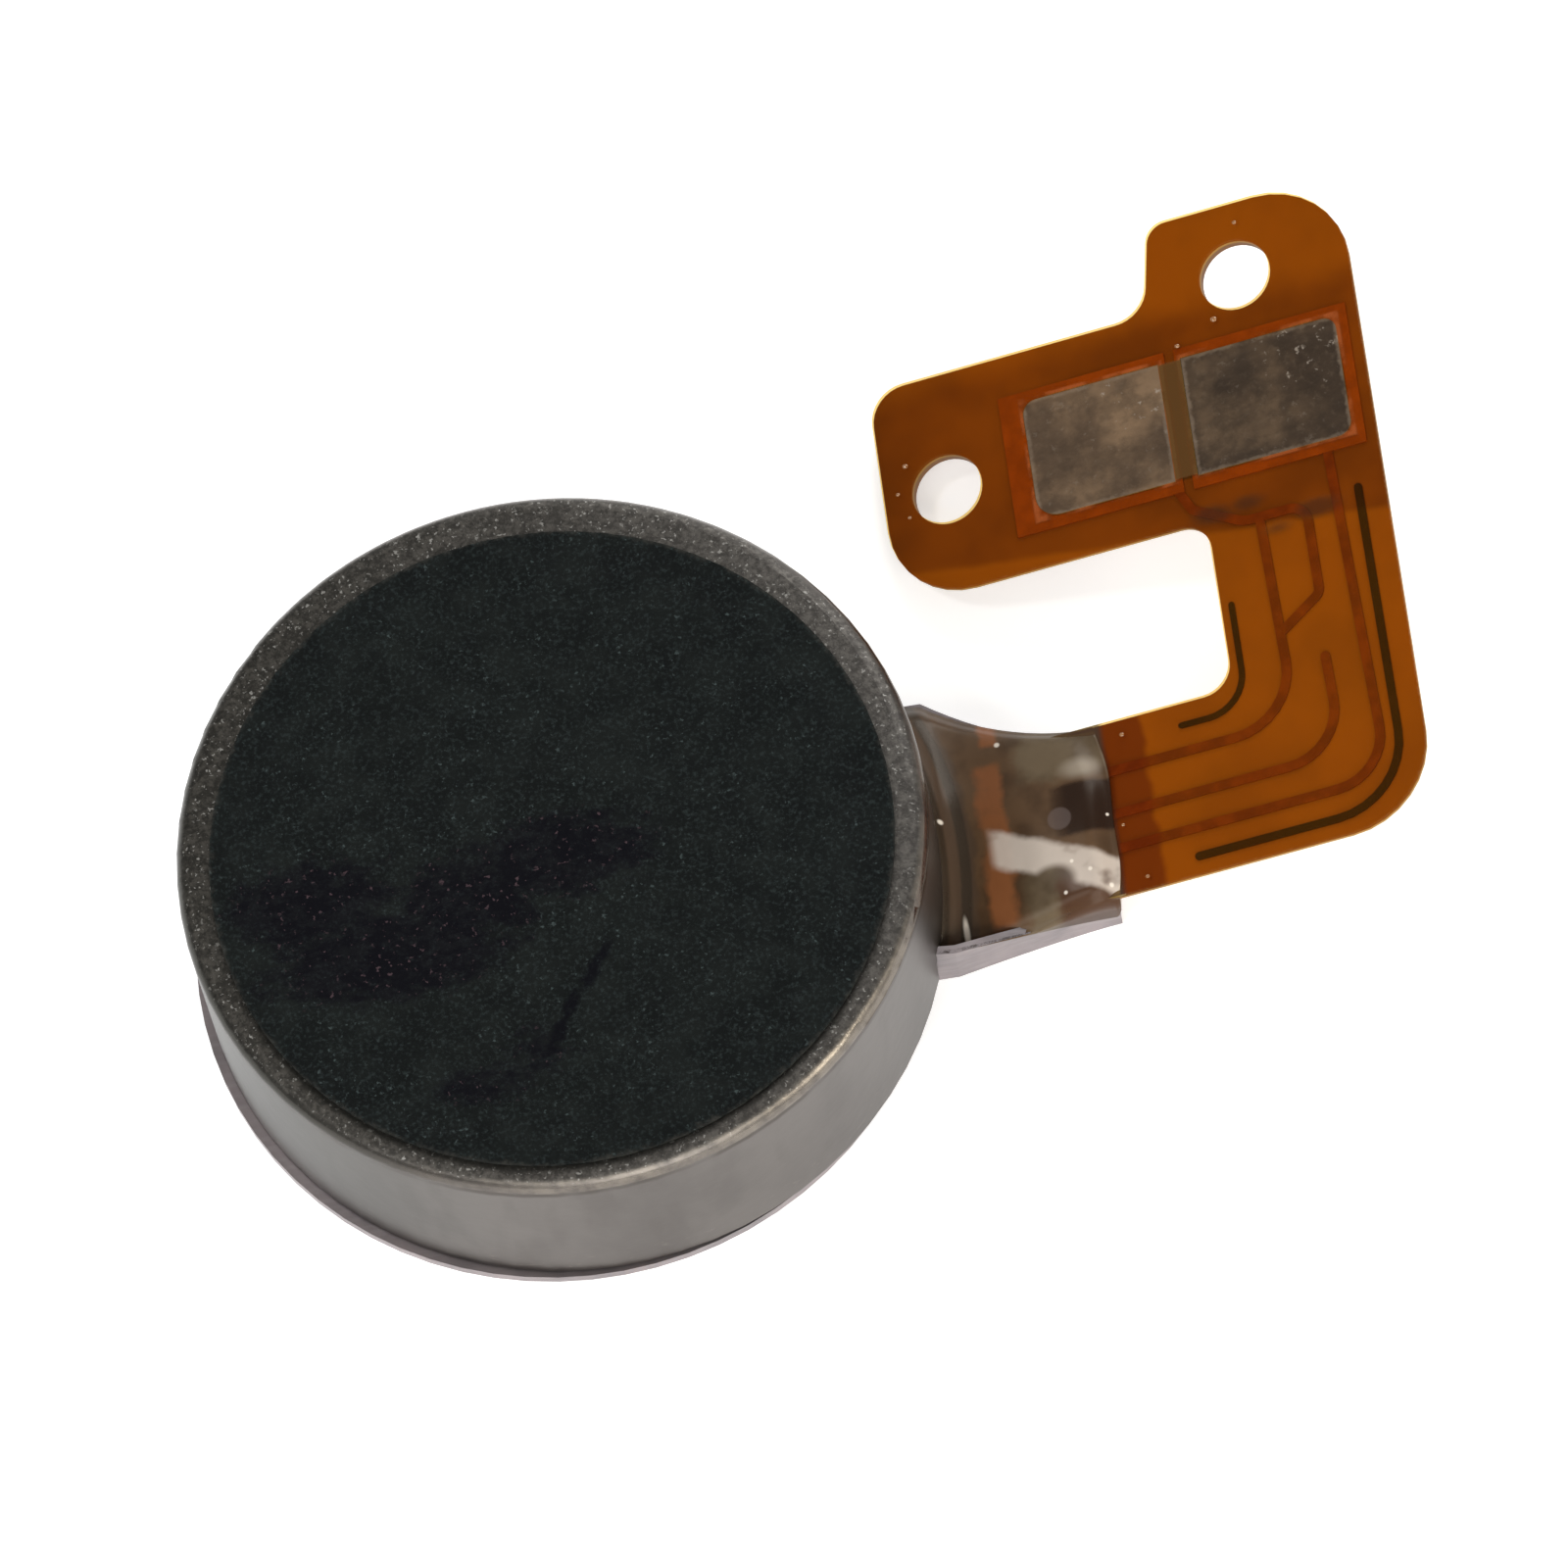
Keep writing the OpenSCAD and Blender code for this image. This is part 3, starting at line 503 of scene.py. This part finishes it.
def tin_plating(node, seed, light_scale):
    """Dull mottled tin; painted highlights: bright spots where the tin is dented, most near the upper-right
    corner, and a soft bright line along the pad's edge.
    """
    s = Shader("tin_" + node, roughness=0.4, metallic=0.7)
    low, high = (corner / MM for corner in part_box(node))
    cloud = s.noise(0.9, 3, 0.55, shift=(seed, 0, 0))
    fine = s.noise(0.1, 3, 0.6, shift=(seed, 0, 0))
    dark, light = (0.080, 0.050, 0.029), (0.187, 0.118, 0.066)
    # both tones are scaled by a factor that paints light and shade
    dark, light = tuple(light_scale * value for value in dark), tuple(light_scale * value for value in light)
    color = s.mix(s.ramp(cloud, 0.4, 0.68), dark, light)
    blotch = s.noise(0.35, 4, 0.6, shift=(0, 0, seed))
    color = s.mix(s.both(s.ramp(blotch, 0.42, 0.62), 0.45), color, tuple(0.6 * value for value in dark))
    color = s.mix(s.both(s.ramp(fine, 0.5, 0.8), 0.25), color, (0.17, 0.12, 0.078))
    inside_x = s.math("MINIMUM", s.math("SUBTRACT", s.x, low.x), s.math("SUBTRACT", high.x, s.x))
    inside_y = s.math("MINIMUM", s.math("SUBTRACT", s.y, low.y), s.math("SUBTRACT", high.y, s.y))
    inside = s.math("MINIMUM", inside_x, inside_y)
    ragged = s.math("ADD", inside, s.math("MULTIPLY", s.noise(0.12, 3, 0.6, shift=(0, seed, 0)), 0.1))
    # painted highlight: a soft bright line along the pad's edge
    line = s.both(s.ramp(ragged, 0.12, 0.07), s.ramp(blotch, 0.3, 0.55))
    color = s.mix(s.both(line, 0.4), color, (0.28, 0.21, 0.15))
    # painted highlights on dented spots, most near the upper-right corner
    dent_glints = s.ramp(s.noise(0.16, 4, 0.7, shift=(seed, seed, 0)), 0.6, 0.68)
    in_corner = s.ramp(s.radius_from(high.x - 0.4, high.y - 0.35), 0.9, 0.3)
    color = s.mix(s.both(dent_glints, s.math("ADD", 0.12, s.both(in_corner, 0.6))), color, (0.36, 0.30, 0.24))
    s.set(base_color=color)
    s.bump(s.math("ADD", cloud, s.both(fine, 0.15)), 0.03, 0.6)
    return s.material


def stiffener_film():
    s = Shader("stiffener_film", roughness=0.55)
    cloud = s.noise(0.6, 4, 0.6)
    s.set(base_color=s.mix(s.ramp(cloud, 0.35, 0.7), (0.16, 0.062, 0.008), (0.10, 0.038, 0.006)))
    s.bump(s.noise(0.12, 3, 0.6), 0.008, 0.5)
    return s.material


def resin_patch(s, x_range, y_range, soft, wander):
    """Mask of a soft-edged rectangle seen in the resin."""
    x = s.math("ADD", s.x, s.both(wander, soft * 2.2))
    y = s.math("ADD", s.y, s.both(wander, soft * 2.2))
    return s.both(
        s.ramp(x, x_range[0], x_range[0] + soft), s.ramp(x, x_range[1] + soft, x_range[1]),
        s.ramp(y, y_range[0], y_range[0] + soft), s.ramp(y, y_range[1] + soft, y_range[1]),
    )


def resin_glints(s):
    """Mask of painted highlights: a few small bright points and one short bright line near the wall."""
    spots = []
    for x, y, size in (
        (5.06, 0.31, 0.05), (5.95, 1.36, 0.05), (6.58, -1.02, 0.035), (7.28, -0.02, 0.03),
        (6.72, -0.62, 0.035), (6.95, -0.79, 0.04), (7.2, -1.04, 0.04),
    ):
        spots.append(s.ramp(s.radius_from(x, y), size, size * 0.4))
    line = s.ramp(s.radius_from(5.19, -1.16, (1.0, 0.22)), 0.055, 0.02)
    return s.either(spots + [line])


def clear_resin():
    """Clear adhesive over brown, orange and grey patches, with a milky streak that is partly a painted
    reflection, a soft gloss, painted highlights and a painted reflection of the case wall.
    """
    s = Shader("clear_resin", roughness=0.34)
    s.bsdf.inputs["Specular IOR Level"].default_value = 0.25
    s.bsdf.inputs["Specular Tint"].default_value = (1.0, 0.86, 0.70, 1)
    cloud = s.noise(0.6, 3, 0.5)
    wander = s.math("SUBTRACT", s.noise(0.45, 3, 0.55, shift=(3, 3, 0)), 0.5)
    color = s.mix(s.ramp(cloud, 0.38, 0.66), (0.112, 0.062, 0.031), (0.062, 0.033, 0.016))
    pale = s.mix(s.ramp(cloud, 0.4, 0.65), (0.150, 0.112, 0.068), (0.088, 0.061, 0.034))
    upper_grey = resin_patch(s, (6.05, 7.2), (0.5, 1.35), 0.25, wander)
    lower_grey = resin_patch(s, (5.95, 6.45), (-1.5, -0.4), 0.16, wander)
    color = s.mix(s.both(s.math("MAXIMUM", upper_grey, lower_grey), 0.85), color, pale)
    orange = resin_patch(s, (5.52, 5.86), (-1.25, 1.0), 0.14, wander)
    tip = resin_patch(s, (5.66, 5.9), (1.3, 1.75), 0.1, wander)
    orange = s.both(s.math("MAXIMUM", orange, tip), s.ramp(cloud, 0.1, 0.45))
    color = s.mix(orange, color, (0.235, 0.085, 0.030))
    brown = resin_patch(s, (6.4, 7.4), (-1.6, -0.9), 0.14, wander)
    color = s.mix(s.both(brown, 0.85), color, (0.065, 0.024, 0.009))
    square = resin_patch(s, (6.5, 7.5), (-0.3, 0.45), 0.1, s.both(wander, 0.5))
    square = s.both(square, s.ramp(s.x, 6.4, 6.8))
    color = s.mix(s.both(square, 0.96), color, (0.015, 0.0045, 0.0015))
    bubble = s.ramp(s.radius_from(6.64, 0.02), 0.18, 0.14)
    color = s.mix(s.both(bubble, 0.4), color, (0.17, 0.13, 0.12))
    # painted highlight: a soft pale spot on the resin
    sheen = s.ramp(s.radius_from(7.0, 0.72, (0.8, 1.3)), 0.3, 0.05)
    color = s.mix(s.both(sheen, 0.6), color, (0.42, 0.36, 0.28))
    # painted reflection and shadow of the case wall: dark brown bands in the resin next to it
    wall = s.ramp(s.math("ADD", s.radius_from(0, 0), s.both(wander, 0.2)), COIN_R + 0.52, COIN_R + 0.42)
    wall_reflection_bands = s.ramp(s.math("SINE", s.math("MULTIPLY", s.radius_from(0, 0), 21)), -0.6, 0.6)
    color = s.mix(wall, color, s.mix(wall_reflection_bands, (0.036, 0.024, 0.015), (0.070, 0.042, 0.025)))
    # the milky streak is partly milky haze and partly a painted reflection of a light
    off_streak = s.math("ADD", s.y, s.math("MULTIPLY", s.math("SUBTRACT", s.x, 5.7), 0.46))
    off_streak = s.math("ABSOLUTE", s.math("ADD", s.math("ADD", off_streak, 0.17), s.both(wander, 0.16)))
    notch = s.ramp(s.radius_from(6.42, -0.84, (0.9, 1.2)), 0.2, 0.36)
    streak = s.both(s.ramp(off_streak, 0.32, 0.19), s.ramp(s.x, 5.6, 5.78), notch)
    color = s.mix(s.both(streak, s.ramp(cloud, 0.2, 0.42), 0.85), color, (0.66, 0.57, 0.49))
    # painted highlights
    color = s.mix(s.both(resin_glints(s), 0.85), color, (0.95, 0.86, 0.74))
    s.set(base_color=color)
    s.bsdf.inputs["Coat Weight"].default_value = 0.12
    s.bsdf.inputs["Coat Roughness"].default_value = 0.22
    s.bump(s.math("ADD", s.noise(0.6, 2, 0.4), s.both(s.noise(0.2, 2, 0.5), 0.2)), 0.03, 0.5)
    clear = s.nodes.new("ShaderNodeBsdfTransparent")
    clear.inputs["Color"].default_value = (0.93, 0.84, 0.70, 1)
    body = s.nodes.new("ShaderNodeMixShader")
    s.put(body.inputs[0], s.math("ADD", 0.76, s.both(cloud, 0.2)))
    s.links.new(clear.outputs[0], body.inputs[1])
    s.links.new(s.bsdf.outputs[0], body.inputs[2])
    s.links.new(body.outputs[0], s.nodes["Material Output"].inputs["Surface"])
    return s.material


# ---- Materials of the inner parts ----


def worked_metal(name, dark, light, roughness, metallic=1.0, stretch=(1, 1, 1), size=0.12):
    """Metal whose finish varies between two tones in lines or spots of about size mm."""
    s = Shader(name, roughness=roughness, metallic=metallic)
    grain = s.noise(size, 4, 0.65, stretch)
    s.set(base_color=s.mix(s.ramp(grain, 0.35, 0.68), dark, light))
    s.bump(grain, size * 0.08, 0.6)
    return s.material


def moulded_plastic(name, dark, light, roughness, size=0.3):
    s = Shader(name, roughness=roughness)
    grain = s.noise(size, 4, 0.6)
    s.set(base_color=s.mix(s.ramp(grain, 0.35, 0.68), dark, light))
    s.bump(s.noise(size * 0.2, 3, 0.6), size * 0.03, 0.5)
    return s.material


def coil_winding():
    """Enamelled copper wire wound in fine layers."""
    s = Shader("coil_winding", roughness=0.3, metallic=0.8)
    turns = s.nodes.new("ShaderNodeTexWave")
    turns.wave_type = "RINGS"
    turns.inputs["Scale"].default_value = 5
    turns.inputs["Distortion"].default_value = 0.6
    s.links.new(s.place, turns.inputs["Vector"])
    s.set(base_color=s.mix(turns.outputs["Fac"], (0.30, 0.09, 0.025), (0.70, 0.27, 0.09)))
    s.bump(turns.outputs["Fac"], 0.02, 0.8)
    return s.material


def dress(material, *names):
    """Gives CAD nodes their material."""
    for name in names:
        node = NODES[name]
        node.data.materials.clear()
        node.data.materials.append(material)


def dress_nodes():
    dress(steel_case(), "case")
    dress(steel_base(), "base_plate")
    dress(tape_disc(), "adhesive_disc")
    dress(film_base(), "flex_base_film")
    dress(film_cover(), "flex_coverlay")
    part_faces("flex_coverlay")
    tracks = ("track_positive", "track_negative", "track_tail")
    dress(copper_track("copper_track", (0.13, 0.024, 0.004), (0.21, 0.044, 0.007)), *tracks)
    guard = copper_track("copper_guard", (0.004, 0.002, 0.001), (0.012, 0.005, 0.002))
    dress(guard, "guard_inner", "guard_outer")
    pad = copper_track("copper_pad", (0.23, 0.055, 0.005), (0.31, 0.076, 0.008))
    dress(pad, "pad_left", "pad_right")
    # painted light and shade: the left pad's tin is painted about twice as bright as the right pad's
    dress(tin_plating("pad_plating_left", 3, 1.15), "pad_plating_left")
    dress(tin_plating("pad_plating_right", 11, 0.58), "pad_plating_right")
    dress(stiffener_film(), "head_stiffener")
    dress(worked_metal("ground_steel", (0.5, 0.5, 0.52), (0.68, 0.68, 0.70), 0.2, stretch=(1, 1, 8)), "shaft")
    dress(worked_metal("nickel_magnet", (0.20, 0.20, 0.22), (0.34, 0.34, 0.35), 0.45, 0.8), "ring_magnet")
    dress(worked_metal("tungsten", (0.20, 0.205, 0.21), (0.36, 0.365, 0.37), 0.5), "rotor_weight")
    dress(worked_metal("sintered_bronze", (0.35, 0.22, 0.11), (0.62, 0.42, 0.24), 0.45), "rotor_bearing")
    spring = worked_metal("brush_alloy", (0.66, 0.45, 0.17), (0.86, 0.62, 0.28), 0.25, stretch=(0.1, 1, 1))
    dress(spring, "brush_positive", "brush_negative")
    solder = worked_metal("solder_metal", (0.45, 0.45, 0.47), (0.70, 0.70, 0.72), 0.3)
    dress(solder, "solder_positive", "solder_negative")
    segments = [name for name in NODES if name.startswith("segment_")]
    dress(worked_metal("segment_copper", (0.60, 0.30, 0.13), (0.82, 0.45, 0.22), 0.3), *segments)
    dress(coil_winding(), "coil_1", "coil_2")
    dress(moulded_plastic("rotor_plastic", (0.016, 0.028, 0.075), (0.03, 0.05, 0.12), 0.45), "rotor_moulding")
    dress(moulded_plastic("board_mask", (0.02, 0.09, 0.035), (0.04, 0.14, 0.055), 0.35), "rotor_board")
    washer = moulded_plastic("washer_film", (0.60, 0.57, 0.48), (0.76, 0.73, 0.64), 0.5, 0.15)
    dress(washer, "washer_lower", "washer_upper")
    dress(moulded_plastic("bond_film", (0.36, 0.30, 0.20), (0.46, 0.39, 0.27), 0.6, 0.2), "flex_adhesive")


# ---- Modelled pieces ----


def add_piece(name, mesh_data, body, material, smooth=True):
    """Links a bmesh as a piece that rides on a body."""
    mesh = bpy.data.meshes.new(name)
    bmesh.ops.recalc_face_normals(mesh_data, faces=mesh_data.faces)
    mesh_data.to_mesh(mesh)
    mesh_data.free()
    mesh.transform(Matrix.Scale(MM, 4))
    mesh.materials.append(material)
    for polygon in mesh.polygons:
        polygon.use_smooth = smooth
    piece = bpy.data.objects.new(name, mesh)
    bpy.context.scene.collection.objects.link(piece)
    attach(piece, body)
    return piece


def smooth_step(low, high, value):
    t = min(1.0, max(0.0, (value - low) / (high - low)))
    return t * t * (3 - 2 * t)


RESIN_END = TAB_END + 0.12


def resin_side(x, side):
    """Edge of the resin in y at distance x, on the +Y side (1) or the -Y side (-1)."""
    t = min(1.0, max(0.0, (x - COIN_R) / (TAB_END - COIN_R)))
    if side > 0:
        return 1.36 + 0.93 * (1 - t) ** 1.9
    return -1.21 - 0.34 * (1 - t) ** 1.2


def resin_top(x, y, u, v):
    """Height of the resin's surface: a low dome on a slanting ridge, a meniscus at the wall, soft lumps."""
    lead = FLEX_TOP + max(0.0, x - CREASE_X) * math.tan(SLOPE)
    ridge = 0.30 - 0.47 * (x - 5.7)
    dome = 0.26 - 0.10 * (y - ridge) ** 2
    dome *= 1 - smooth_step(0.8, 1.0, u) ** 2 * 0.85
    from_wall = max(0.0, math.hypot(x, y) - COIN_R)
    meniscus = 0.34 * math.exp(-from_wall / 0.22)
    shoulder = 0.12 * (1 - smooth_step(0.0, 0.10, min(v, 1 - v))) ** 2
    lump = 0.03 * noise.noise(Vector((x * 1.5, y * 1.3, 3.1)))
    return lead + dome + meniscus - shoulder + lump * smooth_step(0.0, 0.05, min(v, 1 - v))


def resin_floor(x, v):
    """Underside of the resin: the tab's top and its lip, rising to the lead beyond the tab's end."""
    lip = 0.79 - 0.44 * (x - COIN_R) / (TAB_END - COIN_R)
    low = lip + (0.24 - lip) * smooth_step(0.02, 0.06, v)
    rise = FLEX_TOP + (x - CREASE_X) * math.tan(SLOPE) - 0.06
    return low + (rise - low) * smooth_step(TAB_END - 0.05, RESIN_END, x)


def resin_point(u, v):
    """Place in the plan view: u runs from the case wall to the resin's end, v across the tab."""
    at_wall = resin_side(COIN_R, -1) + (resin_side(COIN_R, 1) - resin_side(COIN_R, -1)) * v
    start = math.sqrt(COIN_R ** 2 - at_wall ** 2) - 0.05
    end = RESIN_END - 0.10 * (2 * v - 1) ** 2 + 0.02 * math.sin(11 * v)
    x = start + (end - start) * u
    y = resin_side(x, -1) + (resin_side(x, 1) - resin_side(x, -1)) * v
    return x, y


def add_resin(material):
    """Closed lump of clear resin over the tab and the start of the lead."""
    rows, columns = 72, 72
    shape = bmesh.new()
    grid = []
    for i in range(rows + 1):
        line = []
        for j in range(columns + 1):
            u, v = i / rows, j / columns
            x, y = resin_point(u, v)
            low = resin_floor(x, v)
            top = max(resin_top(x, y, u, v), low + 0.01)
            line.append((shape.verts.new((x, y, top)), shape.verts.new((x, y, low))))
        grid.append(line)
    for i in range(rows):
        for j in range(columns):
            for layer in (0, 1):
                corners = [grid[i][j], grid[i + 1][j], grid[i + 1][j + 1], grid[i][j + 1]]
                shape.faces.new([corner[layer] for corner in corners])
    border = [grid[i][0] for i in range(rows + 1)]
    border += [grid[rows][j] for j in range(1, columns + 1)]
    border += [grid[i][columns] for i in range(rows - 1, -1, -1)]
    border += [grid[0][j] for j in range(columns - 1, 0, -1)]
    for a, b in zip(border, border[1:] + border[:1]):
        shape.faces.new((a[0], b[0], b[1], a[1]))
    piece = add_piece("exit_resin_lump", shape, "stator", material)
    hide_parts("exit_resin")


def add_droplets(material):
    """Small clear blisters that dot the cover film by the holes, the window and the neck."""
    places = (
        (5.28, 5.78, 0.04), (5.12, 5.40, 0.03), (5.24, 5.02, 0.026), (10.35, 7.98, 0.03), (9.86, 6.66, 0.045),
        (9.3, 6.42, 0.034), (7.72, 1.08, 0.034), (7.78, -1.02, 0.03), (7.55, -0.2, 0.026),
    )
    chance = random.Random(7)
    shape = bmesh.new()
    for s, v, size in places:
        blob = bmesh.ops.create_icosphere(shape, subdivisions=3, radius=1)["verts"]
        middle = climb(s, v, 0.0)
        turn = Matrix.Rotation(-SLOPE, 3, "Y")
        for vert in blob:
            wobble = 1 + 0.14 * noise.noise(vert.co * 1.7 + Vector((chance.random(), s, v)))
            flat = Vector((vert.co.x * size, vert.co.y * size * 0.85, vert.co.z * size * 0.45))
            vert.co = middle + turn @ (flat * wobble)
    add_piece("film_blisters", shape, "stator", material)


def blister_gloss():
    s = Shader("blister_gloss", roughness=0.12)
    s.set(base_color=s.mix(s.ramp(s.noise(0.05, 2, 0.5), 0.4, 0.6), (0.24, 0.09, 0.015), (0.36, 0.18, 0.07)))
    s.bsdf.inputs["Coat Weight"].default_value = 1.0
    return s.material


add_camera()
add_light()
add_floor()
dress_nodes()
add_resin(clear_resin())
add_droplets(blister_gloss())
